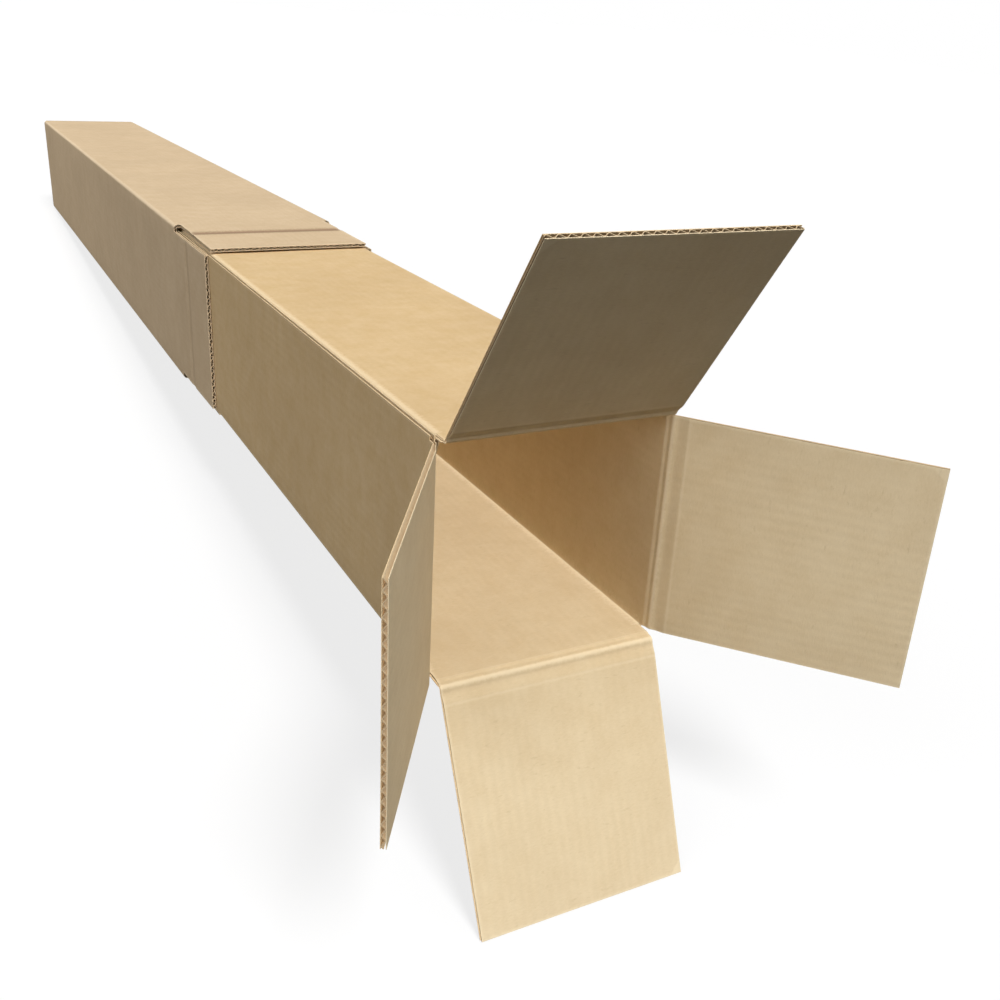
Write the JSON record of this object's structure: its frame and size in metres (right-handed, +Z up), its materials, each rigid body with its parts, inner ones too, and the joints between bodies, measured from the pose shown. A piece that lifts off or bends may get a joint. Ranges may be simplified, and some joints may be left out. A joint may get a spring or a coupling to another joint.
{
  "type": "telescoping cardboard box",
  "caption": "Long square telescoping cardboard shipping box for slim goods, its inner tube pulled part way out and its end flaps splayed open.",
  "frame": {"origin": "centre of the outer box's bottom face, halfway between its front fold lines and its closed end", "axes": "+Y along the length from the open flaps to the closed end, +Z up from the bottom face, +X to the right when looking into the open end"},
  "size_m": [0.3207, 1.9156, 0.3968],
  "materials": {
    "outer_kraft": "matt brown kraft liner",
    "inner_kraft": "matt warm brown kraft liner"
  },
  "bodies": {
    "outer": {"outer_box": "outer_kraft"},
    "outer_top": {"outer_top_flap": "outer_kraft"},
    "outer_right": {"outer_right_flap": "outer_kraft"},
    "outer_bottom": {"outer_bottom_flap": "outer_kraft"},
    "outer_left": {"outer_left_flap": "outer_kraft"},
    "inner": {"inner_box": "inner_kraft"},
    "inner_top": {"inner_top_flap": "inner_kraft"},
    "inner_right": {"inner_right_flap": "inner_kraft"},
    "inner_bottom": {"inner_bottom_flap": "inner_kraft"},
    "inner_left": {"inner_left_flap": "inner_kraft"}
  },
  "joints": [
    {"name": "telescope_slide", "type": "slide", "parent": "outer", "child": "inner", "axis": [0, -1, 0], "range_m": [-0.48, 0.48]},
    {"name": "inner_top_fold", "type": "hinge", "parent": "inner", "child": "inner_top", "pos_m": [0, -1.1866, 0.1503], "axis": [-1, 0, 0], "range_deg": [-145.2, 114.8]},
    {"name": "inner_right_fold", "type": "hinge", "parent": "inner", "child": "inner_right", "pos_m": [0.075, -1.1833, 0.0768], "axis": [0, 0, 1], "range_deg": [-129.6, 130.4]},
    {"name": "inner_bottom_fold", "type": "hinge", "parent": "inner", "child": "inner_bottom", "pos_m": [0, -1.1899, 0.0033], "axis": [1, 0, 0], "range_deg": [-155.9, 104.1]},
    {"name": "inner_left_fold", "type": "hinge", "parent": "inner", "child": "inner_left", "pos_m": [-0.075, -1.18, 0.0768], "axis": [0, 0, -1], "range_deg": [-121.5, 138.5]},
    {"name": "outer_top_fold", "type": "hinge", "parent": "outer", "child": "outer_top", "pos_m": [0, -0.61, 0.156], "axis": [-1, 0, 0], "range_deg": [0, 170]},
    {"name": "outer_right_fold", "type": "hinge", "parent": "outer", "child": "outer_right", "pos_m": [0.0795, -0.61, 0.078], "axis": [0, 0, 1], "range_deg": [0, 170]},
    {"name": "outer_bottom_fold", "type": "hinge", "parent": "outer", "child": "outer_bottom", "pos_m": [0, -0.61, 0], "axis": [1, 0, 0], "range_deg": [0, 170]},
    {"name": "outer_left_fold", "type": "hinge", "parent": "outer", "child": "outer_left", "pos_m": [-0.0795, -0.61, 0.078], "axis": [0, 0, -1], "range_deg": [0, 170]}
  ]
}
